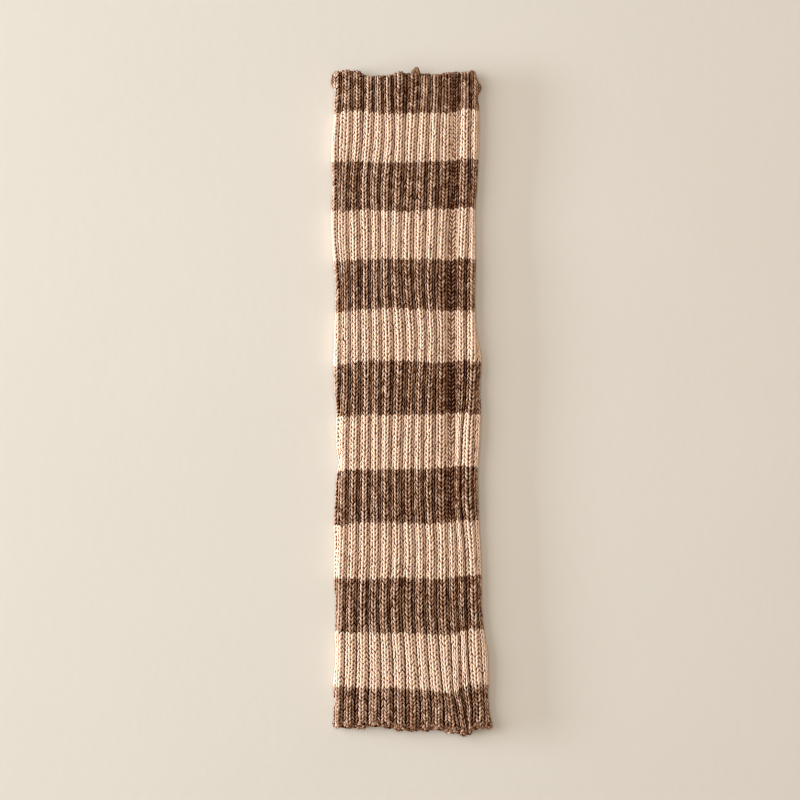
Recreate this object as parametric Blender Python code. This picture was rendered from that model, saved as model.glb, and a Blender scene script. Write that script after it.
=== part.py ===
# A ribbed, striped leg warmer lying flat on a surface: one knitted tube, seen from above.
# +X runs across the tube, +Y along it towards the upper end, and +Z up from the surface.
# Every size below is in millimetres, and MM turns it into Blender's metres.

import math

import bmesh
import bpy

MM = 0.001
OBJECT_NAME = "striped_leg_warmer"

# Thickness of the cloth. The two layers lie on each other, a little apart.
HEIGHT_MIDDLE = 9.0  # both layers over the rib crests, in the middle of the tube
HEIGHT_FOLD = 8.2  # the same at the two side folds, which are half round
WALL_FRONT = 4.3  # front layer, from a rib's crest to the plain inside
WALL_BACK = 3.5  # back layer, whose underside lies flat
WALL_FOLD = 3.7  # at the side folds
RIB_DEPTH = 1.8  # from a rib's crest down into the furrow beside it
RIB_PITCH = 6.8  # between furrows at the folds, where the front no longer shows them
LAST_FURROW_ANGLE = 150.0  # how far round a fold its furrow may lie; the front's edge is 0
RIB_FADE = (95.0, 50.0)  # angle round a fold where the ribs begin to fade, and over which
UNDERSIDE_ANGLES = (165.0, 180.0)  # where a fold rounds into the flat underside

STRIPE_GAP = 0.3  # between two neighbouring stripes
TOP_Y = 208.5  # where the upper end's longest ribs stop

# The stripes from the upper end down. Each row gives its yarn, its length, and where the
# tube's left and right sides lie at its upper border and at its middle.
STRIPES = [
    # yarn, length, left, right, middle_at, middle_left, middle_right
    ("brown", 26.2, -48.6, 41.2, 0.38, -50.3, 44.0),
    ("beige", 30.9, -48.9, 43.0, 0.50, -49.8, 42.7),
    ("brown", 30.2, -50.7, 42.3, 0.50, -49.6, 41.6),
    ("beige", 31.5, -50.6, 40.7, 0.50, -50.4, 40.6),
    ("brown", 31.8, -49.6, 41.0, 0.50, -48.7, 40.6),
    ("beige", 32.5, -48.2, 40.6, 0.50, -49.1, 41.9),
    ("brown", 33.4, -50.0, 44.0, 0.50, -49.3, 43.2),
    ("beige", 34.6, -47.7, 43.9, 0.50, -47.4, 43.3),
    ("brown", 33.7, -48.2, 41.9, 0.50, -48.0, 42.1),
    ("beige", 34.7, -48.6, 42.6, 0.50, -48.8, 43.5),
    ("brown", 34.6, -48.6, 44.1, 0.50, -48.8, 44.4),
    ("beige", 34.9, -48.5, 45.6, 0.50, -48.2, 47.8),
    ("brown", 30.3, -49.3, 48.7, 0.45, -49.6, 49.8),
]
LOWER_END = (-49.9, 50.7)  # left and right side at the lower end

# The furrows between the ribs of the front, from left to right, as distances from the
# middle line measured along the cloth, at eight heights of the tube.
FURROW_HEIGHTS = (197.0, 152.0, 112.0, 74.0, 35.0, -47.0, -135.0, -195.0)
FURROWS = [
    # upper end, beige 2, beige 4, brown 5, beige 6, brown 9, brown 11, lower end
    (-43.2, -45.7, -47.4, -44.6, -44.5, -47.5, -50.0, -52.0),
    (-36.3, -38.8, -39.9, -38.8, -38.4, -40.1, -41.9, -43.3),
    (-30.5, -32.2, -32.9, -32.3, -32.0, -33.1, -34.8, -36.0),
    (-23.6, -25.5, -26.0, -26.1, -25.4, -26.1, -27.6, -27.6),
    (-17.8, -18.7, -20.0, -20.0, -19.0, -19.7, -20.8, -19.7),
    (-11.5, -11.8, -13.5, -13.5, -11.4, -13.0, -14.0, -11.5),
    (-2.5, -4.7, -6.8, -6.1, -3.7, -6.1, -6.3, -2.7),
    (5.6, 2.7, 0.7, 1.2, 3.5, 0.9, 1.5, 5.8),
    (12.1, 10.0, 8.5, 8.0, 9.8, 7.3, 8.8, 13.0),
    (19.1, 17.1, 15.9, 14.8, 16.0, 14.1, 15.9, 20.9),
    (25.1, 24.1, 22.9, 22.0, 22.6, 21.3, 23.5, 28.8),
    (30.2, 29.5, 27.9, 28.3, 28.1, 26.2, 29.8, 35.0),
    (37.3, 36.7, 36.1, 34.1, 34.3, 30.3, 35.5, 38.0),
    (43.7, 43.1, 42.6, 42.8, 42.8, 38.8, 43.0, 46.6),
]

# How far each rib, from the left fold to the right one, stops short of the furthest rib:
# on the front and on the back layer at the upper end, and on both at the lower end.
RIB_ENDS = [
    # upper, upper_back, lower
    (2.4, 2.4, 7.4),
    (0.3, 0.9, 5.2),
    (0.2, 0.9, 4.3),
    (2.8, 2.9, 4.0),
    (3.0, 3.1, 5.0),
    (2.4, 2.5, 4.1),
    (0.9, 1.4, 2.9),
    (1.5, 1.4, 2.2),
    (2.7, 1.3, 2.8),
    (2.7, 1.6, 3.2),
    (1.2, 1.6, 1.7),
    (0.9, 1.6, 0.0),
    (0.9, 1.3, 0.5),
    (0.0, 1.5, 2.6),
    (2.2, 2.4, 6.2),
]
FURROW_SHORT = 0.7  # a furrow stops this much shorter than the ribs beside it

# Lengthwise folds in the front. Each row gives the rib, the stretch of the tube over which
# it lies sunk between its neighbours, and how deep its left and right halves are sunk.
FOLDS = [
    # rib, upper_y, lower_y, left_depth, right_depth
    (11, 209.0, 60.0, 1.5, 0.4),
    (11, 60.0, -72.0, 1.7, 1.2),
    (13, 150.0, 88.0, 0.5, 0.0),
]
FOLD_RUN_OUT = 14.0  # a sunk stretch rises again over this length
FURROW_FOLLOWS = 0.5  # share of a fold's depth that the furrow beside it sinks too
DEEPEST = 2.25  # below the rib crests, so that the wall keeps 2 mm under it

# The rows of knitting run a little lower at the left fold and higher at the right one.
ROW_SHIFTS = [
    # x, shift
    (-44.0, -0.9),
    (-36.0, 0.0),
    (22.0, 0.0),
    (31.0, 1.6),
    (41.0, 1.9),
]

BACK_POINTS = 9  # along the flat underside
INSIDE_POINTS = 19  # across each layer's plain inside
RIB_PROFILE = [
    # share of the rib's width and of its depth, then how far its sunk halves reach here
    # across, depth, sunk_left, sunk_right
    (0.00, 1.00, 0.3, 0.0),
    (0.20, 0.24, 1.0, 0.2),
    (0.50, 0.00, 0.5, 0.6),
    (0.80, 0.24, 0.0, 1.0),
]

# The loose loop of yarn on the upper edge.
LOOP_YARN = 1.5
LOOP_FEET = ((0.4, 207.7), (5.4, 206.9))  # x and y of its two feet, just clear of the edge
LOOP_TOP = (3.4, 210.9)  # x and y of its highest point, over the yarn
LOOP_Z = 6.2
LOOP_PINCH = 0.35  # how much narrower it is halfway up than at its feet
LOOP_POINTS = 11  # along its route

YARN_FINISH = {
    # colour (linear red, green and blue), roughness
    "brown": ((0.184, 0.098, 0.058), 0.92),
    "beige": ((0.560, 0.376, 0.252), 0.92),
}


def smooth_step(value):
    value = min(1.0, max(0.0, value))
    return value * value * (3.0 - 2.0 * value)


def through(xs, ys, x):
    """Value at x of the smooth curve through the points (xs, ys), whose xs fall or rise."""
    if xs[0] > xs[-1]:
        xs = [-v for v in xs]
        x = -x
    x = min(xs[-1], max(xs[0], x))
    i = 0
    while i < len(xs) - 2 and x > xs[i + 1]:
        i += 1
    width = xs[i + 1] - xs[i]
    before = max(i - 1, 0)
    after = min(i + 2, len(xs) - 1)
    slope_a = (ys[i + 1] - ys[before]) / (xs[i + 1] - xs[before]) * width
    slope_b = (ys[after] - ys[i]) / (xs[after] - xs[i]) * width
    t = (x - xs[i]) / width
    rise = ys[i + 1] - ys[i]
    return (
        ys[i]
        + slope_a * t
        + (3.0 * rise - 2.0 * slope_a - slope_b) * t**2
        + (slope_a + slope_b - 2.0 * rise) * t**3
    )


def side_stations():
    """Heights along the tube with the left and right side at each of them."""
    ys, lefts, rights = [], [], []
    y = TOP_Y
    for _, length, left, right, middle_at, middle_left, middle_right in STRIPES:
        ys += [y, y - length * middle_at]
        lefts += [left, middle_left]
        rights += [right, middle_right]
        y -= length
    return ys + [y], lefts + [LOWER_END[0]], rights + [LOWER_END[1]]


SIDE_YS, SIDE_LEFTS, SIDE_RIGHTS = side_stations()


def row_shift(x):
    return through([r[0] for r in ROW_SHIFTS], [r[1] for r in ROW_SHIFTS], x)


class Section:
    """The tube cut across at one height: its sides, its folds and its furrows."""

    def __init__(self, y):
        self.y = y
        self.left = through(SIDE_YS, SIDE_LEFTS, y)
        self.right = through(SIDE_YS, SIDE_RIGHTS, y)
        self.radius = HEIGHT_FOLD / 2.0
        self.flat_left = self.left + self.radius
        self.flat_right = self.right - self.radius
        inner = [through(FURROW_HEIGHTS, row, y) for row in FURROWS]
        furthest = math.radians(LAST_FURROW_ANGLE) * self.radius
        first = max(inner[0] - RIB_PITCH, self.flat_left - furthest)
        last = min(inner[-1] + RIB_PITCH, self.flat_right + furthest)
        self.furrows = [first] + inner + [last]

    def crown(self, x):
        """Height of the rib crests above the surface at x."""
        middle = (self.flat_left + self.flat_right) / 2.0
        half = (self.flat_right - self.flat_left) / 2.0
        share = min(1.0, abs(x - middle) / half)
        return HEIGHT_FOLD + (HEIGHT_MIDDLE - HEIGHT_FOLD) * (1.0 - share**2)

    def outside(self, along, inset):
        """Point at a distance along the cloth from the middle line, inset into the wall."""
        if along < self.flat_left:
            side, angle = -1.0, (self.flat_left - along) / self.radius
            centre = self.flat_left
        elif along > self.flat_right:
            side, angle = 1.0, (along - self.flat_right) / self.radius
            centre = self.flat_right
        else:
            return along, self.crown(along) - inset
        fade = smooth_step((math.degrees(angle) - RIB_FADE[0]) / RIB_FADE[1])
        reach = self.radius - inset * (1.0 - fade)
        return centre + side * reach * math.sin(angle), self.radius + reach * math.cos(angle)

    def fold_depth(self, rib, half):
        """How deep one half (0 left, 1 right) of a rib is sunk at this height."""
        depth = 0.0
        for number, upper, lower, *depths in FOLDS:
            if number == rib:
                inside = min(upper - self.y, self.y - lower)
                depth = max(depth, depths[half] * smooth_step(0.5 + inside / FOLD_RUN_OUT))
        return depth

    def outer_ring(self):
        """Outer points as (x, z, rib position), over the front from left to right and back."""
        ring = []
        for angle in reversed(UNDERSIDE_ANGLES):
            along = self.flat_left - math.radians(angle) * self.radius
            ring.append((*self.outside(along, 0.0), 0.0))
        for rib in range(len(self.furrows) - 1):
            start, width = self.furrows[rib], self.furrows[rib + 1] - self.furrows[rib]
            for across, depth, sunk_left, sunk_right in RIB_PROFILE:
                sunk = sunk_left * self.fold_depth(rib, 0) + sunk_right * self.fold_depth(rib, 1)
                sunk *= 1.0 - (1.0 - FURROW_FOLLOWS) * depth
                inset = min(RIB_DEPTH * depth + sunk, DEEPEST)
                ring.append((*self.outside(start + width * across, inset), rib + across))
        last_rib = len(self.furrows) - 1.0
        ring.append((*self.outside(self.furrows[-1], RIB_DEPTH), last_rib))
        for angle in UNDERSIDE_ANGLES:
            along = self.flat_right + math.radians(angle) * self.radius
            ring.append((*self.outside(along, 0.0), last_rib))
        step = (self.flat_right - self.flat_left) / (BACK_POINTS + 1)
        for i in range(BACK_POINTS):
            x = self.flat_right - step * (i + 1)
            ring.append((x, 0.0, self.rib_at(x)))
        return ring

    def inner_ring(self):
        """Points of the plain inside, over the front's inside and back along the back's."""
        start, end = self.left + WALL_FOLD, self.right - WALL_FOLD
        xs = [start + (end - start) * (i + 1) / (INSIDE_POINTS + 1) for i in range(INSIDE_POINTS)]
        tip_z = (WALL_BACK + HEIGHT_FOLD - WALL_FRONT) / 2.0
        ring = [(start, tip_z, self.rib_at(start))]
        ring += [(x, self.crown(x) - WALL_FRONT, self.rib_at(x)) for x in xs]
        ring += [(end, tip_z, self.rib_at(end))]
        ring += [(x, WALL_BACK, self.rib_at(x)) for x in reversed(xs)]
        return ring

    def rib_at(self, x):
        """Rib number with the share across it, for a point under the front at x."""
        if x <= self.furrows[0]:
            return 0.0
        for rib in range(len(self.furrows) - 1):
            if x < self.furrows[rib + 1]:
                return rib + (x - self.furrows[rib]) / (self.furrows[rib + 1] - self.furrows[rib])
        return float(len(self.furrows) - 1)


def end_short(position, column):
    """How far the tube's end lies back from its furthest rib, at a rib position."""
    centre = min(len(RIB_ENDS) - 1.0, max(0.0, position - 0.5))
    rib = min(int(centre), len(RIB_ENDS) - 2)
    share = smooth_step(centre - rib)
    ribs = RIB_ENDS[rib][column] * (1.0 - share) + RIB_ENDS[rib + 1][column] * share
    in_furrow = position == round(position)
    return ribs + (FURROW_SHORT if in_furrow else 0.0)


def placed(ring, y, end=None):
    """The ring's points at height y, with the rows' shift or the shape of the tube's end."""
    points = []
    for x, z, position in ring:
        if end == "upper":
            along = y - end_short(position, 0 if z > HEIGHT_FOLD / 2.0 else 1)
        elif end == "lower":
            along = y + end_short(position, 2)
        else:
            along = y + row_shift(x)
        points.append((x * MM, along * MM, z * MM))
    return points


def add_loft(mesh, rings):
    """Join rings of equal length with quads, and return their vertices."""
    loops = [[mesh.verts.new(point) for point in ring] for ring in rings]
    for near, far in zip(loops, loops[1:]):
        for i in range(len(near)):
            j = (i + 1) % len(near)
            mesh.faces.new((near[i], near[j], far[j], far[i]))
    return loops


def around(loop, left, right):
    """The loop's vertices with how far round from left to right and back each lies, closed."""
    start = min(range(len(loop)), key=lambda i: loop[i].co.x)
    ordered = loop[start:] + loop[:start]
    turn = max(range(len(ordered)), key=lambda i: ordered[i].co.x)
    shares = []
    for i, vertex in enumerate(ordered):
        across = (vertex.co.x - left) / (right - left)
        shares.append(across / 2.0 if i <= turn else 1.0 - across / 2.0)
    return list(zip(ordered + ordered[:1], shares + [1.0 + shares[0]]))


def close_end(mesh, outer, inner):
    """Fill the cut edge of the wall between an outer and an inner loop with triangles."""
    left = min(v.co.x for v in outer)
    right = max(v.co.x for v in outer)
    outer, inner = around(outer, left, right), around(inner, left, right)
    i = j = 0
    while i < len(outer) - 1 or j < len(inner) - 1:
        from_outer = j == len(inner) - 1
        if i < len(outer) - 1 and not from_outer:
            from_outer = outer[i][1] + outer[i + 1][1] <= inner[j][1] + inner[j + 1][1]
        if from_outer:
            mesh.faces.new((outer[i][0], outer[i + 1][0], inner[j][0]))
            i += 1
        else:
            mesh.faces.new((outer[i][0], inner[j + 1][0], inner[j][0]))
            j += 1


def make_material(name):
    colour, roughness = YARN_FINISH[name]
    material = bpy.data.materials.new(f"{name}_yarn")
    material.use_nodes = True
    shader = material.node_tree.nodes["Principled BSDF"]
    shader.inputs["Base Color"].default_value = (*colour, 1.0)
    shader.inputs["Roughness"].default_value = roughness
    shader.inputs["Metallic"].default_value = 0.0
    material.diffuse_color = (*colour, 1.0)
    return material


def make_stripe(number, collection, materials):
    """One stripe of the tube: a ribbed wall all round, open at both ends."""
    yarn, length = STRIPES[number][:2]
    middle_at = STRIPES[number][4]
    upper = TOP_Y - sum(row[1] for row in STRIPES[:number])
    first, last = number == 0, number == len(STRIPES) - 1
    cuts = [
        # section, how far it is set back for the gap, which end of the tube it is
        (Section(upper), 0.0 if first else -STRIPE_GAP / 2.0, "upper" if first else None),
        (Section(upper - length * middle_at), 0.0, None),
        (Section(upper - length), 0.0 if last else STRIPE_GAP / 2.0, "lower" if last else None),
    ]
    mesh = bmesh.new()
    outer = add_loft(mesh, [placed(s.outer_ring(), s.y + back, end) for s, back, end in cuts])
    inner = add_loft(mesh, [placed(s.inner_ring(), s.y + back, end) for s, back, end in cuts])
    for end in (0, -1):
        close_end(mesh, outer[end], inner[end])
    bmesh.ops.recalc_face_normals(mesh, faces=mesh.faces)
    name = f"stripe_{number + 1:02d}_{yarn}"
    data = bpy.data.meshes.new(name)
    mesh.to_mesh(data)
    mesh.free()
    data.shade_smooth()
    data.set_sharp_from_angle(angle=math.radians(50.0))
    data.materials.append(materials[yarn])
    collection.objects.link(bpy.data.objects.new(name, data))


def make_edge_loop(collection, materials):
    """The loose loop of yarn that stands out of the upper edge."""
    (left_x, left_y), (right_x, right_y) = LOOP_FEET
    middle, half = (left_x + right_x) / 2.0, (right_x - left_x) / 2.0
    curve = bpy.data.curves.new("edge_yarn_loop", "CURVE")
    curve.dimensions = "3D"
    curve.bevel_depth = LOOP_YARN / 2.0 * MM
    curve.bevel_resolution = 2
    curve.use_fill_caps = True
    curve.materials.append(materials["brown"])
    route = []
    for i in range(LOOP_POINTS):
        share = i / (LOOP_POINTS - 1)
        rise = math.sin(math.pi * share)
        pinched = half * (1.0 - LOOP_PINCH * rise**2)
        foot_y = left_y + (right_y - left_y) * share
        x = middle - pinched * math.cos(math.pi * share) + (LOOP_TOP[0] - middle) * rise**2
        route.append((x, foot_y + (LOOP_TOP[1] - LOOP_YARN / 2.0 - foot_y) * rise))
    line = curve.splines.new("POLY")
    line.points.add(len(route) - 1)
    for point, (x, y) in zip(line.points, route):
        point.co = (x * MM, y * MM, LOOP_Z * MM, 1.0)
    collection.objects.link(bpy.data.objects.new("edge_yarn_loop", curve))


def main():
    for old in list(bpy.data.objects):
        bpy.data.objects.remove(old, do_unlink=True)
    collection = bpy.data.collections.new(OBJECT_NAME)
    bpy.context.scene.collection.children.link(collection)
    materials = {name: make_material(name) for name in YARN_FINISH}
    for number in range(len(STRIPES)):
        make_stripe(number, collection, materials)
    make_edge_loop(collection, materials)


main()
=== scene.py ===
import math

import bpy
import numpy as np
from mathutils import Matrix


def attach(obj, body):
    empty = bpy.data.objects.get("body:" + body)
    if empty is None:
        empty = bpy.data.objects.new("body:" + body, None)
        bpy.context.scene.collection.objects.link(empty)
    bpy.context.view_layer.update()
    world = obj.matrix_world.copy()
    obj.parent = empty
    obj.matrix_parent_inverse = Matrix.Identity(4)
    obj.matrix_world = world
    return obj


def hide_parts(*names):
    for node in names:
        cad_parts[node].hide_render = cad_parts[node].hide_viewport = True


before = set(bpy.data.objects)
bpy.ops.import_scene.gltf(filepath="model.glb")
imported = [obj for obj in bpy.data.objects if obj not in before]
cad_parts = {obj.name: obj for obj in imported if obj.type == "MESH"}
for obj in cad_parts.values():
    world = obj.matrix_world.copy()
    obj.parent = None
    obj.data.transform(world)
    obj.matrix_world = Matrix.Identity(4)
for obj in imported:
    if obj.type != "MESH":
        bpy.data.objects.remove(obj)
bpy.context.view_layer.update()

# Sizes are in millimetres, and mm turns them into metres.
mm = 0.001
chance = np.random.default_rng(17)

# The tube's form, as in its solids, with finer measures of the ribs, borders, sides and ends.
tube = {
    "topY": 208.5,  # where the longest ribs of the upper end stop
    "heightMiddle": 9.0,  # from the surface to the rib crests, in the middle
    "heightFold": 8.2,  # the same at the side folds, which are half round
    "wallFront": 4.3,
    "wallBack": 3.5,
    "wallFold": 3.7,
    "foldSwell": 0.4,  # by which the stitches of a side fold stand out past its solid
    "leastHeight": 0.02,  # no cloth or yarn lies lower, so that none touches the floor
    "step": 0.5,  # the form is worked out at heights this far apart
    "margin": 8.0,  # and this far past both ends
    # The front's ribs are round in the upper stripes, and flat with sharp furrows in the lowest.
    "ribShapes": [
        # height, depth from crest to furrow, flatness, painted shade of the furrow and of the rib,
        # place of the crest across the rib, wales' distance from it, share of a leg's painted shade
        (-132.0, 2.5, 2.4, 0.80, 0.00, 0.590, 0.252, 1.00),
        (-150.0, 3.0, 4.6, 0.84, 0.03, 0.570, 0.238, 0.52),
        (-180.0, 3.1, 5.0, 1.00, 0.03, 0.550, 0.234, 0.48),
        (-184.0, 3.2, 5.0, 1.90, 0.04, 0.530, 0.232, 1.15),
    ],
    "backRibs": 12,
    # The same underneath, where the ribs are pressed flat.
    "backRibShape": (1.3, 2.1, 0.60, 0.10, 0.5, 0.256, 1.0),
    "lastLitRib": 1,  # ribs up to this one lie at the left fold, where nothing shades them
    "ribPitch": 6.8,
    "lastFurrowAngle": 150.0,  # how far round a fold its furrow may lie
    "lowerEnd": (-49.9, 50.7),
    "stripes": [
        # yarn, rows, length, left, right, middle at, middle left, middle right
        ("brown", 11, 26.2, -48.6, 41.2, 0.38, -50.3, 44.0),
        ("beige", 13, 30.9, -48.9, 43.0, 0.50, -49.8, 42.7),
        ("brown", 13, 30.2, -50.7, 42.3, 0.50, -49.6, 41.6),
        ("beige", 13, 31.5, -50.6, 40.7, 0.50, -50.4, 40.6),
        ("brown", 13, 31.8, -49.6, 41.0, 0.50, -48.7, 40.6),
        ("beige", 13, 32.5, -48.2, 40.6, 0.50, -49.1, 41.9),
        ("brown", 13, 33.4, -50.0, 44.0, 0.50, -49.3, 43.2),
        ("beige", 13, 34.6, -47.7, 43.9, 0.50, -47.4, 43.3),
        ("brown", 13, 33.7, -48.2, 41.9, 0.50, -48.0, 42.1),
        ("beige", 13, 34.7, -48.6, 42.6, 0.50, -48.8, 43.5),
        ("brown", 13, 34.6, -48.6, 44.1, 0.50, -48.8, 44.4),
        ("beige", 13, 34.9, -48.5, 45.6, 0.50, -48.2, 47.8),
        ("brown", 11, 30.3, -49.3, 48.7, 0.45, -49.6, 49.8),
    ],
    # Furrows of the front, as distances along the cloth from the middle line, at each height.
    "furrowHeights": (
        195.0, 167.0, 136.0, 105.0, 74.0, 41.0, 8.0, -26.0, -60.0, -94.0, -129.0, -163.0, -192.0
    ),
    # How far some of them lean right of that near the lower end.
    "leans": [
        # number, and millimetres at each of the lean heights
        (11, 0.0, -0.8, -1.4, -0.4, 1.6),
        (12, 0.0, -1.2, -2.2, -0.4, 1.2),
        (13, 0.0, 0.0, 0.3, 0.3, 0.0),
    ],
    "leanHeights": (-150.0, -170.0, -182.0, -195.0, -205.0),
    "furrows": [
        (-44.8, -46.5, -46.7, -47.1, -44.8, -44.8, -45.3, -46.9, -47.8, -48.8, -49.6, -50.6, -51.6),
        (-37.5, -37.7, -40.0, -40.1, -39.1, -39.0, -39.2, -40.1, -40.4, -40.9, -42.3, -42.6, -43.4),
        (-30.7, -31.5, -33.6, -33.1, -32.6, -32.5, -32.5, -33.2, -33.6, -34.0, -35.1, -35.1, -36.1),
        (-23.8, -24.5, -27.0, -26.0, -26.5, -25.7, -25.8, -26.2, -26.7, -26.8, -27.9, -27.2, -27.7),
        (-18.3, -17.7, -20.4, -20.0, -20.4, -19.3, -19.8, -19.8, -20.1, -20.1, -21.3, -19.7, -19.7),
        (-12.1, -11.1, -13.2, -13.6, -13.9, -11.9, -12.3, -13.2, -13.4, -13.1, -14.4, -12.3, -11.6),
        (-3.6, -4.7, -5.7, -7.1, -6.6, -4.2, -4.6, -6.0, -6.8, -5.8, -6.9, -4.6, -3.9),
        (5.3, 3.2, 2.0, 0.6, 0.9, 3.1, 1.8, 1.2, 0.8, 1.8, 1.3, 3.2, 5.5),
        (11.3, 10.4, 9.1, 8.4, 7.5, 9.4, 7.9, 7.2, 6.9, 8.5, 8.3, 10.1, 12.2),
        (18.3, 17.0, 16.5, 15.4, 14.0, 15.4, 14.5, 14.3, 13.9, 15.5, 15.2, 17.5, 20.2),
        (25.6, 25.1, 24.8, 22.9, 22.4, 22.5, 22.5, 22.4, 22.2, 22.8, 23.2, 25.3, 28.8),
        (30.2, 30.0, 29.4, 28.0, 27.8, 27.7, 27.7, 27.7, 26.9, 28.4, 29.0, 31.7, 34.8),
        (37.7, 36.9, 36.7, 35.7, 34.0, 34.1, 33.8, 31.1, 30.6, 33.2, 34.3, 35.5, 37.6),
        (43.2, 43.3, 42.8, 43.3, 42.9, 43.1, 41.2, 40.1, 39.5, 41.7, 42.7, 44.1, 46.2),
    ],
    # How far each side fold lies right of that in the solids, at some heights.
    "sideShifts": [
        # height, left, right
        (204.0, -1.3, -0.8), (202.0, -1.5, -0.9), (199.0, -0.1, 0.2), (195.8, 1.6, -0.7),
        (192.0, 0.9, -1.9), (188.9, -0.2, -1.2), (185.5, -0.6, -0.5), (178.0, -0.4, 0.0),
        (166.0, -0.9, 0.0), (140.0, -0.4, 0.0), (117.0, -0.9, 0.0), (105.0, -0.3, 0.0),
        (93.0, -0.6, 0.0), (77.0, 0.0, 0.0), (54.0, -0.6, 0.0), (37.0, 0.0, 0.0),
        (4.0, 0.2, 0.0), (-4.5, 0.7, 0.0), (-16.0, 0.0, 0.0), (-30.0, 0.8, 0.0),
        (-39.0, 2.6, 0.0), (-47.0, 1.2, 0.0), (-56.0, 0.4, 0.0), (-80.0, 0.0, 0.0),
        (-90.0, 0.8, 0.0), (-99.0, 0.2, 0.0), (-115.0, 0.1, 0.0), (-124.2, 1.2, 0.0),
        (-133.0, 1.0, 0.0), (-142.0, 0.9, 0.0), (-150.0, 0.4, 0.4), (-159.0, 0.7, 0.8),
        (-168.0, 0.4, 0.6), (-177.0, 0.1, 0.2), (-185.0, 0.6, -0.7), (-191.0, 1.6, -1.0),
        (-194.5, 0.8, -1.1), (-201.0, 0.7, 0.2), (-204.0, 0.5, 0.7),
    ],
    # How far each rib of the front stops short of the furthest one, left to right.
    "ribEnds": [
        # upper front, upper back, lower
        (1.2, 1.2, 5.5), (0.3, 0.5, 5.1), (1.0, 1.2, 4.8), (4.4, 3.7, 4.6), (4.2, 3.3, 6.0),
        (4.0, 3.3, 5.1), (1.6, 2.0, 3.3), (2.5, 2.0, 3.3), (4.2, 1.9, 3.1), (3.6, 2.4, 3.9),
        (1.9, 2.2, 1.8), (1.2, 2.2, 0.0), (1.7, 1.9, 0.9), (0.4, 2.1, 4.3), (5.8, 5.8, 4.4),
    ],
    "lowerEndPower": 1.5,  # how late the rows of the lowest stripe take up its edge's line
    # Stretches where a rib's left and right halves lie sunk between the neighbours. Some are
    # pulled wide there, so that their wales show as one row of open chevrons.
    "folds": [
        # rib, upper y, lower y, left depth, right depth, share pulled wide
        (10, 209.0, -72.0, 0.0, 0.9, 0.0),
        (11, 209.0, 122.0, 2.6, 1.2, 0.3),
        (11, 122.0, 92.0, 2.6, 1.8, 0.9),
        (11, 92.0, 58.0, 1.6, 1.1, 1.0),
        (11, 58.0, -24.0, 2.5, 2.1, 1.0),
        (11, -24.0, -72.0, 2.4, 1.6, 0.4),
        (12, 130.0, -72.0, 0.9, 0.6, 0.0),
        (13, 150.0, 88.0, 0.9, 0.0, 0.0),
    ],
    "foldRunOut": 14.0,  # way over which a fold or a deeper furrow sets in
    "foldPlaces": (0.0, 0.2, 0.5, 0.8, 1.0),
    "foldShares": [
        # share of the left depth, and then of the right one, at those places across the rib
        (0.3, 1.0, 0.5, 0.0, 0.0),
        (0.0, 0.2, 0.6, 1.0, 0.3),
    ],
    "furrowStays": 0.5,  # share of a fold's depth that its furrows don't follow
    "foldPaintedShade": 0.5,  # how much more painted shade a furrow gets for each mm that it lies sunk
    "deepest": 3.3,
    # Furrows that are pressed in deeper than the others, or less deep.
    "deepFurrows": [
        # number, upper y, lower y, extra depth, half its width in ribs
        (1, 209.0, -214.0, -1.2, 0.45),
        (1, 175.0, 60.0, -0.9, 0.45),
        (1, 209.0, 183.0, 1.8, 0.30),
        (1, 24.0, -6.0, 1.3, 0.30),
        (6, 209.0, 184.0, 1.0, 0.22),
        (7, 209.0, 180.0, 1.5, 0.24),
        (11, 128.0, -45.0, 0.9, 0.15),
        (13, 209.0, -214.0, 1.2, 0.18),
        (14, -8.0, -62.0, 1.2, 0.18),
        (12, -165.0, -214.0, 1.6, 0.45),
        (2, -172.0, -214.0, 0.9, 0.26),
        (5, -176.0, -214.0, 0.5, 0.20),
        (8, -184.0, -214.0, 0.7, 0.22),
        (11, -184.0, -214.0, 0.6, 0.22),
    ],
    # How much higher than a level line each border between two stripes runs, at each place across.
    "shiftPlaces": (-46.0, -38.0, -28.0, -16.0, 0.0, 14.0, 26.0, 33.0, 42.0),
    "borderShifts": [
        (-0.3, 1.0, 0.3, -0.4, -0.7, -0.2, 0.5, 2.5, 1.8),
        (-0.3, 0.2, -0.5, -0.8, -0.5, 0.0, 0.6, 1.8, 1.4),
        (-0.9, -0.6, -0.2, -0.7, -1.2, 0.3, 0.6, 1.9, 0.8),
        (-1.4, -0.7, -0.1, 0.3, 0.2, 0.1, -0.6, 0.9, 0.2),
        (-1.5, -0.9, 0.5, 1.1, 0.5, -0.3, -0.5, -0.2, -0.5),
        (-2.7, -1.0, 0.2, 0.7, 0.0, -0.8, -0.3, 0.4, 0.0),
        (-1.6, -1.4, -0.3, -0.1, -0.3, -0.1, 0.9, 0.9, 0.2),
        (-1.8, -0.5, -0.5, 0.0, -0.1, 0.5, 1.3, 2.2, 1.0),
        (-1.9, -0.3, 0.1, 0.0, -0.4, -0.6, 0.5, 1.6, 1.4),
        (-0.3, -0.3, -1.2, -0.3, 0.0, -1.1, 0.1, 1.0, 1.6),
        (0.6, -0.2, -0.2, -0.1, -0.3, -1.2, -1.4, 1.5, 2.1),
        (0.9, 0.6, -0.4, 0.2, -0.4, -2.3, -2.9, 0.4, 2.2),
    ],
}


def smoothStep(value):
    value = np.clip(value, 0.0, 1.0)
    return value * value * (3.0 - 2.0 * value)


def blend(first, second, share):
    return first * (1.0 - share) + second * share


# Splits a place in a list into the entry before it and the share of the way to the next.
def splitPlace(place, entries):
    place = np.clip(place, 0.0, entries - 1.001)
    index = place.astype(int)
    return index, place - index


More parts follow.
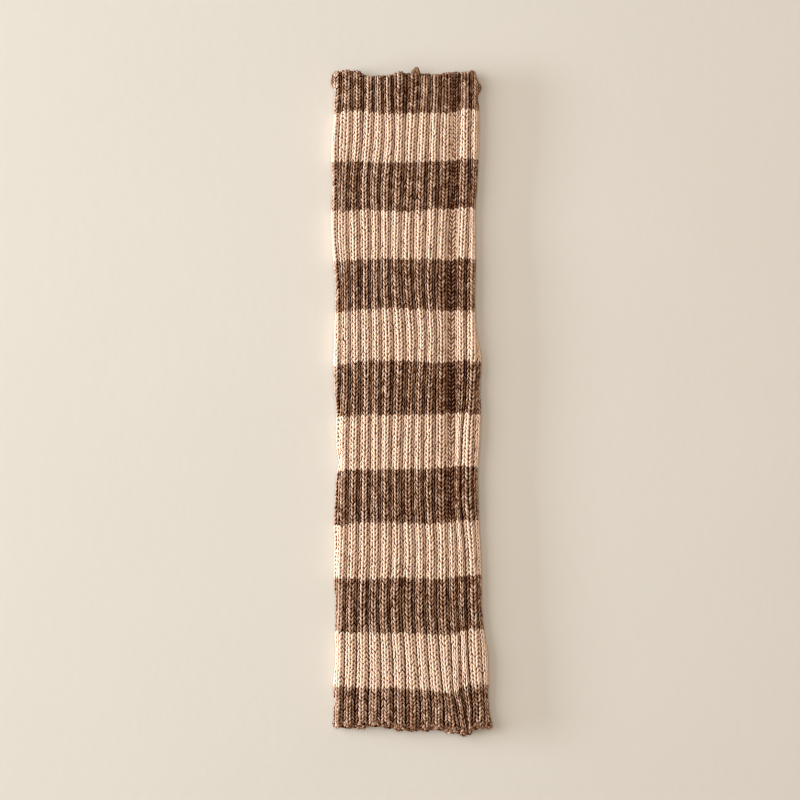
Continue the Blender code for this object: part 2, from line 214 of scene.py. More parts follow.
# Value at x of the smooth curve through the points (xs, ys), whose xs fall or rise.
def through(xs, ys, x):
    xs, ys, x = np.asarray(xs, float), np.asarray(ys, float), np.asarray(x, float)
    if xs[0] > xs[-1]:
        xs, x = -xs, -x
    x = np.clip(x, xs[0], xs[-1])
    i = np.clip(np.searchsorted(xs, x) - 1, 0, len(xs) - 2)
    before, after = np.maximum(i - 1, 0), np.minimum(i + 2, len(xs) - 1)
    width = xs[i + 1] - xs[i]
    slopeA = (ys[i + 1] - ys[before]) / (xs[i + 1] - xs[before]) * width
    slopeB = (ys[after] - ys[i]) / (xs[after] - xs[i]) * width
    t = (x - xs[i]) / width
    rise = ys[i + 1] - ys[i]
    bend = (3.0 * rise - 2.0 * slopeA - slopeB) * t**2
    return ys[i] + slopeA * t + bend + (slopeA + slopeB - 2.0 * rise) * t**3


def unit(vectors):
    return vectors / np.maximum(np.linalg.norm(vectors, axis=-1, keepdims=True), 1e-9)


# The tube's outside at any place. A place is a rib number with its share across the rib,
# counted from the left fold over the front and on along the back, and a height y.
class TubeForm:
    def __init__(self):
        self.borders, self.rowsAbove = [tube["topY"]], [0]
        sideYs, lefts, rights = [], [], []
        for yarn, rows, length, left, right, middleAt, middleLeft, middleRight in tube["stripes"]:
            upper = self.borders[-1]
            sideYs += [upper, upper - length * middleAt]
            lefts += [left, middleLeft]
            rights += [right, middleRight]
            self.borders.append(upper - length)
            self.rowsAbove.append(self.rowsAbove[-1] + rows)
        sideYs.append(self.borders[-1])
        lefts.append(tube["lowerEnd"][0])
        rights.append(tube["lowerEnd"][1])

        self.lowest = self.borders[-1] - tube["margin"]
        ys = np.arange(self.lowest, tube["topY"] + tube["margin"], tube["step"])
        self.radius = tube["heightFold"] / 2.0
        shiftYs, leftShifts, rightShifts = zip(*tube["sideShifts"])
        self.flatLeft = through(sideYs, lefts, ys) + through(shiftYs, leftShifts, ys) + self.radius
        self.flatRight = through(sideYs, rights, ys) + through(shiftYs, rightShifts, ys) - self.radius
        self.girth = 2.0 * (self.flatRight - self.flatLeft) + 2.0 * math.pi * self.radius
        front = [through(tube["furrowHeights"], row, ys) for row in tube["furrows"]]
        for number, *lean in tube["leans"]:
            front[number - 1] = front[number - 1] + through(tube["leanHeights"], lean, ys)
        reach = math.radians(tube["lastFurrowAngle"]) * self.radius
        first = np.maximum(front[0] - tube["ribPitch"], self.flatLeft - reach)
        last = np.minimum(front[-1] + tube["ribPitch"], self.flatRight + reach)
        front = [first] + front + [last]
        share = np.arange(1, tube["backRibs"] + 1)[:, None] / tube["backRibs"]
        back = last + (first + self.girth - last) * share
        self.furrows = np.vstack([front, back])
        self.frontRibs = len(front) - 1
        self.ribs = len(self.furrows) - 1

    def station(self, y):
        return splitPlace((y - self.lowest) / tube["step"], self.furrows.shape[1])

    def sideAt(self, values, y):
        index, t = self.station(y)
        return blend(values[index], values[index + 1], t)

    # Distance along the cloth from the middle line.
    def along(self, rib, y):
        rib = np.mod(rib, self.ribs)
        near = np.minimum(rib.astype(int), self.ribs - 1)
        index, t = self.station(y)
        start, end = [blend(self.furrows[n, index], self.furrows[n, index + 1], t) for n in (near, near + 1)]
        return start + (end - start) * (rib - near)

    # Width of the rib at this place, along the cloth.
    def pitch(self, rib, y):
        near = np.minimum(np.mod(rib, self.ribs).astype(int), self.ribs - 1)
        index = self.station(y)[0]
        return self.furrows[near + 1, index] - self.furrows[near, index]

    # One measure of the rib shapes, by its place in their table: 1 is the depth from crest to
    # furrow, 2 the flatness, 3 and 4 the painted shade of furrow and rib, 5 the place of the crest,
    # 6 the wales' distance from it and 7 the share of a leg's painted shade.
    def shape(self, measure, rib, y):
        shapes = np.array(tube["ribShapes"])[::-1]
        onFront = np.mod(rib, self.ribs) < self.frontRibs
        front = np.interp(y, shapes[:, 0], shapes[:, measure])
        return np.where(onFront, front, tube["backRibShape"][measure - 1])

    # Place across a rib, as 0 and 1 in its furrows and 0.5 on its crest.
    def across(self, rib, y):
        share = rib - np.floor(rib)
        crest = self.shape(5, rib, y)
        return np.where(share < crest, 0.5 * share / crest, 1.0 - 0.5 * (1.0 - share) / (1.0 - crest))

    # How far the outside lies below the rib crests.
    def relief(self, rib, y):
        rib = np.mod(rib, self.ribs)
        fall = np.abs(2.0 * self.across(rib, y) - 1.0) ** self.shape(2, rib, y)
        sunk = self.sunk(rib, y) * (1.0 - tube["furrowStays"] * fall)
        return np.minimum(self.shape(1, rib, y) * fall + sunk, tube["deepest"])

    # Painted shade at the bottom of a furrow, for how little light reaches it.
    def furrowPaintedShade(self, furrow, y):
        sunk = self.sunk(furrow, y)
        return np.maximum(self.shape(3, furrow, y) + tube["foldPaintedShade"] * sunk, 0.0)

    # How far a place lies sunk in a fold or in a deeper furrow.
    def sunk(self, rib, y):
        rib = np.mod(rib, self.ribs)
        across, sunk = self.across(rib, y), 0.0
        for furrow, upper, lower, extra, width in tube["deepFurrows"]:
            near = np.clip(1.0 - np.abs(rib - furrow) / width, 0.0, 1.0)
            sunk = sunk + extra * self.inRun(upper, lower, y) * near
        for half, shares in enumerate(tube["foldShares"]):
            sunk = sunk + self.folded(half, rib, y) * np.interp(across, tube["foldPlaces"], shares)
        return sunk

    # One measure of the folds: 0 and 1 are the depths of a rib's left and right half, and 2
    # says how wide its wales are pulled.
    def folded(self, measure, rib, y):
        total = 0.0
        for number, upper, lower, *measures in tube["folds"]:
            total = total + measures[measure] * self.inRun(upper, lower, y) * (np.floor(rib) == number)
        return total

    # Share from 0 to 1 to which a fold or a deeper furrow between two heights is there.
    def inRun(self, upper, lower, y):
        return smoothStep(0.5 + np.minimum(upper - y, y - lower) / tube["foldRunOut"])

    # Point that lies inset below the crests' envelope.
    def place(self, rib, y, inset):
        flatLeft, flatRight = self.sideAt(self.flatLeft, y), self.sideAt(self.flatRight, y)
        flat, turn = flatRight - flatLeft, math.pi * self.radius
        way = np.mod(self.along(rib, y) - flatLeft, 2.0 * (flat + turn))
        onFront, onRight = way < flat, (way >= flat) & (way < flat + turn)
        onBack = (way >= flat + turn) & (way < 2.0 * flat + turn)
        angle = np.where(onRight, (way - flat) / self.radius, (way - 2.0 * flat) / self.radius)
        angle = np.where(onFront, 0.0, np.where(onBack, math.pi, angle))
        centre = np.where(onFront, flatLeft + way, np.where(onRight, flatRight, flatLeft))
        centre = np.where(onBack, flatRight - (way - flat - turn), centre)
        share = np.abs(2.0 * (centre - flatLeft) / flat - 1.0)
        rise = (tube["heightMiddle"] - tube["heightFold"]) * (1.0 - share**2)
        reach = self.radius - inset
        x = centre + np.sin(angle) * (reach + tube["foldSwell"])
        z = self.radius + np.cos(angle) * reach + np.where(onFront, rise, 0.0)
        return np.stack([x, np.broadcast_to(y, x.shape), z], axis=-1)

    # How far the tube's end lies back from its furthest rib. The column of the table is 0 for
    # the upper end, whose back layer is in column 1, and 2 for the lower end.
    def endShort(self, rib, column, y):
        rib = np.mod(rib, self.ribs)
        x = self.place(rib, y, np.zeros_like(rib))[..., 0]
        frontFurrows = self.furrows[: self.frontRibs + 1, self.station(y)[0]]
        under = np.interp(x, frontFurrows, np.arange(self.frontRibs + 1.0))
        onFront = rib < self.frontRibs
        ends = np.array(tube["ribEnds"]).T
        near, t = splitPlace(np.where(onFront, rib, under) - 0.5, ends.shape[1])
        layers = (ends[column], ends[max(column, 1)])
        front, back = [blend(short[near], short[near + 1], smoothStep(t)) for short in layers]
        return np.where(onFront, front, back)

    # Height of a row's line, where row 0 is the upper edge and the last one the lower edge.
    def rowLine(self, rib, row):
        rib, row = np.broadcast_arrays(np.asarray(rib, float), np.asarray(row, float))
        stripe = np.clip(np.searchsorted(self.rowsAbove, row, side="right") - 1, 0, len(self.borders) - 2)
        rowsAbove, borders = np.array(self.rowsAbove, float), np.array(self.borders)
        share = (row - rowsAbove[stripe]) / (rowsAbove[stripe + 1] - rowsAbove[stripe])
        plain = borders[stripe] + (borders[stripe + 1] - borders[stripe]) * share
        x = self.place(rib, plain, np.zeros_like(plain))[..., 0]
        share = np.clip(share, 0.0, 1.0)
        level = np.zeros(len(tube["shiftPlaces"]))
        table = np.array([level, *tube["borderShifts"], level])
        shifts = [through(tube["shiftPlaces"], line, x) for line in table]
        above, below = np.choose(stripe, shifts[:-1]), np.choose(stripe, shifts[1:])
        y = plain + above * (1.0 - share) + below * share
        upper, lower = np.where(stripe == 0), np.where(stripe == len(borders) - 2)
        y[upper] -= self.endShort(rib[upper], 0, borders[0]) * (1.0 - share[upper])
        late = share[lower] ** tube["lowerEndPower"]
        y[lower] += self.endShort(rib[lower], 2, borders[-1]) * late
        return y

    # At both ends the cloth rolls over a round edge. This gives the height of that edge's
    # middle, 1 or -1 for the upper or lower end, and how far round a point has gone, for a y
    # that is measured along the cloth.
    def roll(self, rib, y):
        radius, beyond = edge["radius"], edge["beyond"]
        upper = self.borders[0] - self.endShort(rib, 0, self.borders[0]) - radius + beyond[0]
        lower = self.borders[-1] + self.endShort(rib, 2, self.borders[-1]) + radius - beyond[1]
        centre = np.where(y > 0.0, upper, lower)
        sign = np.where(y > 0.0, 1.0, -1.0)
        angle = np.clip((y - centre) * sign / radius, 0.0, math.pi)
        return centre, sign, angle

    # Outside of the cloth with its ribs, folds and rolled edges, and inset below that.
    def cloth(self, rib, y, inset):
        centre, sign, angle = self.roll(rib, y)
        rolled = angle > 0.0
        level = np.where(rolled, centre, y)
        relief = self.relief(rib, level)
        depth = inset + relief * (1.0 - edge["evened"] * np.sin(np.minimum(angle, math.pi / 2.0)))
        reach = edge["radius"] - depth
        depth = np.where(rolled, edge["radius"] - reach * np.cos(angle), depth)
        level = np.where(rolled, centre + sign * reach * np.sin(angle), y)
        return self.place(rib, level, depth)

    # Outward normals of the cloth.
    def normals(self, rib, y):
        step = 0.04
        across = self.cloth(rib + step, y, 0.0) - self.cloth(rib - step, y, 0.0)
        along = self.cloth(rib, y + step, 0.0) - self.cloth(rib, y - step, 0.0)
        return unit(np.cross(across, along))

    # Points inset below the cloth's outside, and the way out from each of them.
    def insetPoints(self, rib, y, inset):
        step = 0.3
        points = self.cloth(rib, y, inset)
        return points, unit(self.cloth(rib, y, inset - step) - points)


# One knit stitch shows two legs. Each row of the table is a place along a leg, from where
# it comes out of the row above to where it goes under the row below.
stitch = {
    "yarn": 1.27,  # thickness of a leg
    "apexSpread": 0.044,  # half the way between the two legs where they come out
    "openSpread": 0.170,  # and where they go under
    "wideFromCrest": 0.45,  # how far from the crest a wale lies that is pulled wide
    "wideSpread": 0.35,  # and how far its inner legs then spread
    "lead": 0.10,  # share of a row by which a leg reaches into the row above
    "tail": 0.24,  # and into the row below
    "outerLonger": 0.10,  # added to both on the legs next to the furrows, which look smoother
    "outerPaintedShade": 0.66,  # share of the table's painted shade that those legs keep
    "outerThickness": 0.94,  # and their thickness, as a share of the others'
    "innerThickness": 1.10,
    "leg": [
        # share along, share of the spread, share of the thickness, sunk below the crest, painted shade
        (0.00, 0.00, 0.00, 1.10, 1.0),
        (0.13, 0.06, 0.80, 0.36, 0.32),
        (0.36, 0.40, 1.00, 0.03, 0.0),
        (0.64, 0.84, 1.04, 0.00, 0.0),
        (0.88, 1.00, 0.84, 0.38, 0.30),
        (1.00, 1.00, 0.00, 1.15, 0.9),
    ],
    "leastDip": 0.55,  # share of the table's sinking that is left where the legs lose their painted shade
    "litPaintedShade": 0.55,  # share of the painted shade that is left on the lit ribs
    "litThickness": 1.10,  # and how much thicker their legs are
    "leftOuterPaintedShade": 0.14,  # painted shadow on a rib's leftmost leg, cast by the rib to its left
    "paintedShadeInFurrow": 0.58,  # painted shade on a leg that lies down in a furrow
    "deeperInFold": 0.40,  # share by which its own painted shade deepens for each mm sunk in a fold
    "hiddenLeg": (0, 1, 2, 4, 5),  # the rows of the table used underneath
    "sides": 6,
    "hiddenSides": 5,
    "ragged": 0.11,  # share of a row by which whole wales sit higher or lower
    "innerDrop": 0.10,  # and by which a rib's two inner legs hang lower than its outer ones
    "overEdge": 2,  # rows that roll over each end of the tube
    "dropUneven": 0.07,  # by which a leg sits higher or lower, in rows
    "uneven": 0.08,  # by which a leg strays sideways, in mm
    "columnWave": 0.12,  # by which a whole column of legs wanders, in mm
    "waves": ((9.0, 0.35), (23.0, 0.5), (61.0, 0.6)),  # rows and share of each of its waves
    "waveUneven": (0.8, 1.25),  # how much shorter or longer a column's own waves are
    "liftUneven": 0.09,
    "mostLift": 0.1,
    "thicknessUneven": 0.08,
    "widthPower": 0.75,  # how much of its rib's width a leg's thickness follows
    "widthLimits": (0.80, 1.20),
    "columnShade": 0.5,  # how much the shade strays from column to column
    "legShade": 0.9,  # and from leg to leg
}

# The purl side shows at the bottom of a furrow as one short bar of yarn in each row.
purl = {
    "yarn": 1.1,
    "halfWidth": 0.105,  # share of a rib to each side of the furrow
    "sunk": 0.35,  # below the furrow
    "sag": 0.22,  # share of a row by which its middle hangs lower
    "bar": [
        # share along, share of the thickness, sunk at its ends
        (0.00, 0.00, 0.45),
        (0.22, 0.85, 0.12),
        (0.50, 1.00, 0.00),
        (0.78, 0.85, 0.12),
        (1.00, 0.00, 0.45),
    ],
    "sides": 4,
    "overEdge": 1,  # rows that roll over each end of the tube
    "dropUneven": 0.06,
    "thicknessUneven": 0.08,
    "shade": 0.6,
}

# Both ends of the tube roll over. The lower one was cast off, in rows of small uneven knobs.
edge = {
    "radius": 2.1,
    "beyond": (1.4, 0.6),  # how far the upper and lower rolls reach past the furthest rib
    "evened": 0.68,  # share of the ribs' depth that is lost on the roll
    "knobYarn": 1.75,
    "knobsPerRib": 3,
    "knobLength": 2.5,
    "knob": [
        # share along, share of the thickness, sunk at its ends, painted shade
        (0.00, 0.00, 0.95, 0.9),
        (0.12, 0.70, 0.40, 0.4),
        (0.34, 1.00, 0.00, 0.0),
        (0.66, 1.00, 0.00, 0.0),
        (0.88, 0.70, 0.40, 0.4),
        (1.00, 0.00, 0.95, 0.9),
    ],
    "knobRows": [
        # how far beyond the edge's crown, raised, slant from level in degrees
        (-2.9, 0.30, 50.0),
        (-1.3, 0.45, -40.0),
        (0.4, 0.45, 40.0),
        (2.2, 0.20, -50.0),
    ],
    "sides": 6,
    "placeUneven": 0.05,  # in ribs
    "slantUneven": 22.0,
    "lengthUneven": (0.8, 1.15),
    "dropUneven": 0.22,
    "thicknessUneven": 0.12,
    "liftUneven": 0.16,
    "hollow": (0.1, 0.6),  # painted shade added to each knob at random, least and most
    "shade": 1.3,
}

# The plain cloth under the stitches. Its colour is painted shadow, which shows dark between them.
ground = {
    "below": 1.12,  # under the rib crests
    "across": (0.0, 0.06, 0.16, 0.30, 0.50, 0.70, 0.84, 0.94),  # points over each rib
    "rowsPerStation": 2,
    "endStations": (-0.35, -0.1, 0.2, 0.6, 1.2),  # rows from the end, where it rolls over
    "seam": 0.04,  # between two stripes
    "rolledThin": 0.8,  # share of its thickness that is lost where it rolls over an edge
    "foldOpening": 1.2,  # how far from a side fold its inside is fully open
    "sharpAngle": 70.0,  # edges stay sharp where faces meet at more than this
}


# Sweeps closed tubes along many short paths at once and returns one dictionary of arrays.
# Paths are (tubes, points, 3) in mm, thickness is (tubes, points), up is each point's normal.
# Painted shade says how much of the light a point is painted as having lost, from 0 to 1.5, before the shade
# painted on the flanks of its own roundness.
def sweepTubes(paths, thickness, up, sides, tone, hollow):
    count, points = paths.shape[:2]
    tangent = unit(np.gradient(paths, axis=1))
    side = unit(np.cross(tangent, up))
    up = unit(np.cross(side, tangent))
    turns = 2.0 * math.pi * (np.arange(sides) + 0.5) / sides
    ring = np.cos(turns)[:, None] * up[:, 1:-1, None, :] + np.sin(turns)[:, None] * side[:, 1:-1, None, :]
    ring = paths[:, 1:-1, None, :] + ring * (thickness[:, 1:-1, None, None] / 2.0)
    rings = points - 2
    vertices = np.concatenate([paths[:, :1], ring.reshape(count, rings * sides, 3), paths[:, -1:]], axis=1)
    # Painted shade on the flanks of each yarn, from none on top to most underneath.
    flanks = hollow[:, 1:-1, None] + yarnLook["flanks"] * (1.0 - np.cos(turns))[None, None]
    hollow = np.concatenate([hollow[:, :1], flanks.reshape(count, rings * sides), hollow[:, -1:]], axis=1)
    length = np.linalg.norm(np.diff(paths, axis=1), axis=2)
    length = np.concatenate([np.zeros((count, 1)), np.cumsum(length, axis=1)], axis=1)

    # The corners of each face, as places along and round the tube.
    faces = []
    for i in range(sides):
        faces.append([(0, i + 0.5), (1, i + 1), (1, i)])
        faces += [[(r, i), (r, i + 1), (r + 1, i + 1), (r + 1, i)] for r in range(1, rings)]
        faces.append([(rings + 1, i + 0.5), (rings, i), (rings, i + 1)])
    along, around = np.array([corner for face in faces for corner in face]).T
    along = along.astype(int)
    tip = rings * sides + 1
    corners = np.where(along == 0, 0, np.minimum(1 + (along - 1) * sides + around.astype(int) % sides, tip))
    perTube = vertices.shape[1]
    return {
        "vertices": vertices.reshape(-1, 3),
        "corners": (corners[None] + perTube * np.arange(count)[:, None]).ravel(),
        "sizes": np.tile([len(face) for face in faces], count),
        "around": np.tile(around / sides, count),
        "length": length[:, along].ravel(),
        "share": np.tile(along / (points - 1.0), count),
        "tube": np.repeat(np.arange(count), len(corners)),
        "tone": np.repeat(tone, perTube),
        "hollow": np.clip(hollow, 0.0, yarnLook["mostPaintedShade"]).ravel(),
        "count": count,
    }


def addObject(name, data):
    thing = bpy.data.objects.new(name, data)
    bpy.context.scene.collection.objects.link(thing)
    return thing


def addPiece(mesh, material):
    mesh.validate()
    mesh.shade_smooth()
    mesh.materials.append(material)
    return addObject(mesh.name, mesh)


# Makes one mesh object of several sweeps. Its map named yarn runs round and along each tube,
# and its baking map gives each tube a cell of its own.
def makeTubes(name, sweeps, material):
    joined = {key: np.concatenate([s[key] for s in sweeps]) for key in sweeps[0] if key != "count"}
    starts = np.cumsum([0] + [len(s["vertices"]) for s in sweeps])
    counts = np.cumsum([0] + [s["count"] for s in sweeps])
    corners = np.concatenate([s["corners"] + first for s, first in zip(sweeps, starts)])
    number = np.concatenate([s["tube"] + first for s, first in zip(sweeps, counts)])
    vertices, sizes, around = joined["vertices"], joined["sizes"], joined["around"]
    vertices[:, 2] = np.maximum(vertices[:, 2], tube["leastHeight"])
    mesh = bpy.data.meshes.new(name)
    mesh.vertices.add(len(vertices))
    mesh.vertices.foreach_set("co", (vertices * mm).ravel())
    mesh.loops.add(len(corners))
    mesh.loops.foreach_set("vertex_index", corners)
    mesh.polygons.add(len(sizes))
    mesh.polygons.foreach_set("loop_start", np.cumsum(sizes) - sizes)
    cells = int(math.ceil(math.sqrt(counts[-1])))
    margin = 0.08
    inside = 1.0 - 2.0 * margin
    bakeX = number % cells + margin + inside * around
    bakeY = number // cells + margin + inside * joined["share"]
    for key, u, v in (("OFBake", bakeX / cells, bakeY / cells), ("yarn", around, joined["length"])):
        mesh.uv_layers.new(name=key).data.foreach_set("uv", np.stack([u, v], axis=1).ravel())
    for key in ("tone", "hollow"):
        mesh.attributes.new(key, "FLOAT", "POINT").data.foreach_set("value", joined[key])
    mesh.update(calc_edges=True)
    return addPiece(mesh, material)


# Random strays of about this size, either way.
def uneven(size, count):
    return chance.normal(0.0, size, count)


def columnsOf(table):
    return [np.array(column) for column in zip(*table)]


# Every combination of the lists' entries, as one flat array for each list.
def combined(*lists):
    return [values.ravel() for values in np.meshgrid(*lists, indexing="ij")]


# The rows of a stripe, and at the tube's ends the rows that roll over its edge.
def rowsOf(form, stripe, overEdge):
    first, last = form.rowsAbove[stripe], form.rowsAbove[stripe + 1]
    first -= overEdge if stripe == 0 else 0
    last += overEdge if last == form.rowsAbove[-1] else 0
    return np.arange(first, last)


# A slow random wander for each column of stitches, so that the columns aren't ruled lines.
def columnWander(columns, rows, size):
    count = int(columns.max()) + 1
    lengths, shares = columnsOf(stitch["waves"])
    phase = chance.uniform(0.0, 2.0 * math.pi, (len(shares), count))
    span = lengths[:, None] * chance.uniform(*stitch["waveUneven"], (len(shares), count))
    turns = [2.0 * math.pi * rows / n[columns] + p[columns] for n, p in zip(span, phase)]
    return size * sum(share * np.sin(turn) for share, turn in zip(shares, turns))


# What a grid of draws holds for a column and a row. Its first rows are those that roll over.
def gridAt(grid, column, row):
    return grid[column, row + stitch["overEdge"]]


# The knit legs of one stripe, on all ribs of the front or of the back.
def knitLegs(form, stripe, ribs, hidden):
    table = stitch["leg"]
    if hidden:
        table = [table[i] for i in stitch["hiddenLeg"]]
    share, spread, thick, sunk, hollow = columnsOf(table)
    rows = rowsOf(form, stripe, stitch["overEdge"])
    rib, wale, side, row = combined(ribs, (-1, 1), (-1, 1), rows)
    column = rib * 4 + (wale > 0) * 2 + (side > 0)  # each rib has two wales of two columns
    line = form.rowLine(rib + 0.5, row)
    wide = form.folded(2, rib, line)
    outer = wale * side > 0
    opened = stitch["openSpread"] + (stitch["wideSpread"] - stitch["openSpread"]) * wide * ~outer
    half = stitch["apexSpread"] + (opened[:, None] - stitch["apexSpread"]) * spread[None]
    crest, fromCrest = form.shape(5, rib, line), form.shape(6, rib, line)
    crest = crest + (0.5 - crest) * wide
    fromCrest = fromCrest + (stitch["wideFromCrest"] - fromCrest) * wide
    middle = rib + crest + wale * fromCrest
    across = middle[:, None] + side[:, None] * half
    longer = np.where(outer, stitch["outerLonger"], 0.0)[:, None]
    reach = 1.0 + stitch["lead"] + stitch["tail"] + 2.0 * longer
    rowPlace = row[:, None] - stitch["lead"] - longer + reach * share[None]
    drop = uneven(stitch["dropUneven"], len(row)) + gridAt(ragged, column // 2, row)
    drop = drop + np.where(outer, 0.0, stitch["innerDrop"])
    y = form.rowLine(across, rowPlace + drop[:, None])
    pitch = form.pitch(across, y)
    stray = uneven(stitch["uneven"], len(row)) + gridAt(wander, column, row)
    across = across + stray[:, None] / pitch
    lift = uneven(stitch["liftUneven"], len(row))
    size = stitch["yarn"] * np.where(outer, stitch["outerThickness"], stitch["innerThickness"])
    size = size * (1.0 + uneven(stitch["thicknessUneven"], len(row)))
    lit = rib <= tube["lastLitRib"]
    size = size * np.where(lit, stitch["litThickness"], 1.0)
    widened = (pitch / tube["ribPitch"]) ** stitch["widthPower"]
    size = size[:, None] * np.clip(widened, *stitch["widthLimits"])
    # Painted shade: the table's, deeper in folds, more for legs down in furrows and for the rib's own, on
    # each rib's leftmost leg as the shadow of the rib to its left, and less on the lit ribs.
    legPaintedShades = form.shape(7, across, y)
    dip = sunk[None] * (stitch["leastDip"] + (1.0 - stitch["leastDip"]) * np.minimum(legPaintedShades, 1.0))
    inset = size / 2.0 + dip - np.minimum(lift, stitch["mostLift"])[:, None]
    paths = form.cloth(across, y, inset)
    deepest = max(shape[1] for shape in tube["ribShapes"])
    kept = np.where(outer, stitch["outerPaintedShade"], 1.0)[:, None] * legPaintedShades
    kept = kept * (1.0 + stitch["deeperInFold"] * np.maximum(form.sunk(across, y), 0.0))
    lost = hollow[None] * kept + stitch["paintedShadeInFurrow"] * form.relief(across, y) / deepest
    lost = lost + stitch["leftOuterPaintedShade"] * ((wale < 0) & (side < 0))[:, None]
    lost = lost + form.shape(4, across, y)
    lost = lost * np.where(lit, stitch["litPaintedShade"], 1.0)[:, None]
    normals = form.normals(across, y)
    sides = stitch["hiddenSides"] if hidden else stitch["sides"]
    tone = gridAt(shade, column, row)
    return sweepTubes(paths, size * thick[None], normals, sides, tone, lost)


# The purl bars of one stripe, in the furrows beside the given ribs.
def purlBars(form, stripe, furrows):
    share, thick, sunk = columnsOf(purl["bar"])
    furrow, row = combined(furrows, rowsOf(form, stripe, purl["overEdge"]))
    across = furrow[:, None] + purl["halfWidth"] * (2.0 * share[None] - 1.0)
    rowPlace = row[:, None] + 0.5 + purl["sag"] * np.sin(math.pi * share)[None]
    rowPlace = rowPlace + uneven(purl["dropUneven"], len(row))[:, None]
    y = form.rowLine(across, rowPlace)
    middle = y[:, len(share) // 2]
    floor = form.relief(furrow.astype(float), middle)[:, None] - form.relief(across, y)
    paths, outward = form.insetPoints(across, y, floor + purl["sunk"] + sunk[None])
    size = purl["yarn"] * (1.0 + uneven(purl["thicknessUneven"], len(row)))
    tone = uneven(purl["shade"], len(row))
    # The bars' painted shade, from the furrow they lie in.
    lost = form.furrowPaintedShade(furrow[:, None], y)
    return sweepTubes(paths, size[:, None] * thick[None], outward, purl["sides"], tone, lost)


# The knobs along the lower edge of the tube.
def edgeKnobs(form):
    share, thick, sunk, hollow = columnsOf(edge["knob"])
    count = form.ribs * edge["knobsPerRib"]
    lastRow = np.full(count, float(form.rowsAbove[-1]))
    sweeps = []
    for number, (beyond, raised, slant) in enumerate(edge["knobRows"]):
        middle = np.arange(count) / edge["knobsPerRib"] + number / 2.0 / edge["knobsPerRib"]
        middle = middle + uneven(edge["placeUneven"], count)
        line = form.rowLine(middle, lastRow)
        turn = np.radians(slant + uneven(edge["slantUneven"], count))
        length = edge["knobLength"] * (share - 0.5)[None]
        reach = length * chance.uniform(*edge["lengthUneven"], count)[:, None]
        across = middle[:, None] + reach * np.cos(turn)[:, None] / form.pitch(middle, line)[:, None]
        drop = uneven(edge["dropUneven"], count)[:, None]
        y = line[:, None] - beyond + drop + reach * np.sin(turn)[:, None]
        size = edge["knobYarn"] * (1.0 + uneven(edge["thicknessUneven"], count))
        lift = raised + uneven(edge["liftUneven"], count)
        paths, outward = form.insetPoints(across, y, size[:, None] / 2.0 + sunk[None] - lift[:, None])
        # Painted shade of each knob: most at its ends, plus a random share.
        lost = hollow[None] + chance.uniform(*edge["hollow"], count)[:, None]
        tone = uneven(edge["shade"], count)
        sweeps.append(sweepTubes(paths, size[:, None] * thick[None], outward, edge["sides"], tone, lost))
    return sweeps


# The closed ring of plain cloth under one stripe's stitches.
def makeGround(form, stripe, name, material):
    rows = form.rowsAbove[stripe + 1] - form.rowsAbove[stripe]
    first, last = stripe == 0, stripe == len(tube["stripes"]) - 1
    stations = set(np.linspace(0.0, rows, rows // ground["rowsPerStation"] + 1))
    if first:
        stations = (stations - {0.0}) | set(ground["endStations"])
    if last:
        stations = (stations - {float(rows)}) | {rows - s for s in ground["endStations"]}
    stations = sorted(stations)
    ribs = (np.arange(form.ribs)[:, None] + np.array(ground["across"])[None]).ravel()
    rib, row = np.meshgrid(ribs, form.rowsAbove[stripe] + np.array(stations), indexing="xy")
    y = form.rowLine(rib, row)
    if not first:
        y[0] -= ground["seam"] / 2.0
    if not last:
        y[-1] += ground["seam"] / 2.0
    outer = form.cloth(rib, y, ground["below"])
    level = outer[..., 1]
    inner = insidePoints(form, form.place(rib, level, np.zeros_like(rib)), level)
    rolled = np.sin(np.minimum(form.roll(rib, y)[2], math.pi / 2.0))[..., None] ** 2
    inner = inner + (outer - inner) * ground["rolledThin"] * rolled
    return makeRing(name, outer, inner, material)


# The plain inside opposite each point of the outside.
def insidePoints(form, envelope, y):
    flatLeft, flatRight = form.sideAt(form.flatLeft, y), form.sideAt(form.flatRight, y)
    left, right = flatLeft - form.radius, flatRight + form.radius
    start, end = left + tube["wallFold"], right - tube["wallFold"]
    x = start + (envelope[..., 0] - left) / (right - left) * (end - start)
    share = np.clip(np.abs(2.0 * (x - flatLeft) / (flatRight - flatLeft) - 1.0), 0.0, 1.0)
    rise = (tube["heightMiddle"] - tube["heightFold"]) * (1.0 - share**2)
    front = tube["heightFold"] + rise - tube["wallFront"]
    onFront = envelope[..., 2] > form.radius
    middle = (tube["wallBack"] + tube["heightFold"] - tube["wallFront"]) / 2.0
    opened = np.clip(np.minimum(x - start, end - x) / ground["foldOpening"], 0.0, 1.0)
    z = middle + (np.where(onFront, front, tube["wallBack"]) - middle) * opened
    return np.stack([x, y, z], axis=-1)


# A closed mesh from an outer and an inner grid of (stations, around, 3) points.
def makeRing(name, outer, inner, material):
    stations, around = outer.shape[:2]
    vertices = np.concatenate([outer.reshape(-1, 3), inner.reshape(-1, 3)])
    vertices[:, 2] = np.maximum(vertices[:, 2], tube["leastHeight"])
    index = np.arange(stations * around).reshape(stations, around)
    after = np.roll(index, -1, axis=1)
    inside = stations * around
    quads = [
        np.stack([index[:-1], index[1:], after[1:], after[:-1]], axis=-1),
        np.stack([index[:-1], after[:-1], after[1:], index[1:]], axis=-1) + inside,
        np.stack([index[:1], after[:1], after[:1] + inside, index[:1] + inside], axis=-1),
        np.stack([index[-1:], index[-1:] + inside, after[-1:] + inside, after[-1:]], axis=-1),
    ]
    faces = np.concatenate([q.reshape(-1, 4) for q in quads])
    mesh = bpy.data.meshes.new(name)
    mesh.from_pydata((vertices * mm).tolist(), [], faces.tolist())
    piece = addPiece(mesh, material)
    mesh.set_sharp_from_angle(angle=math.radians(ground["sharpAngle"]))
    return piece


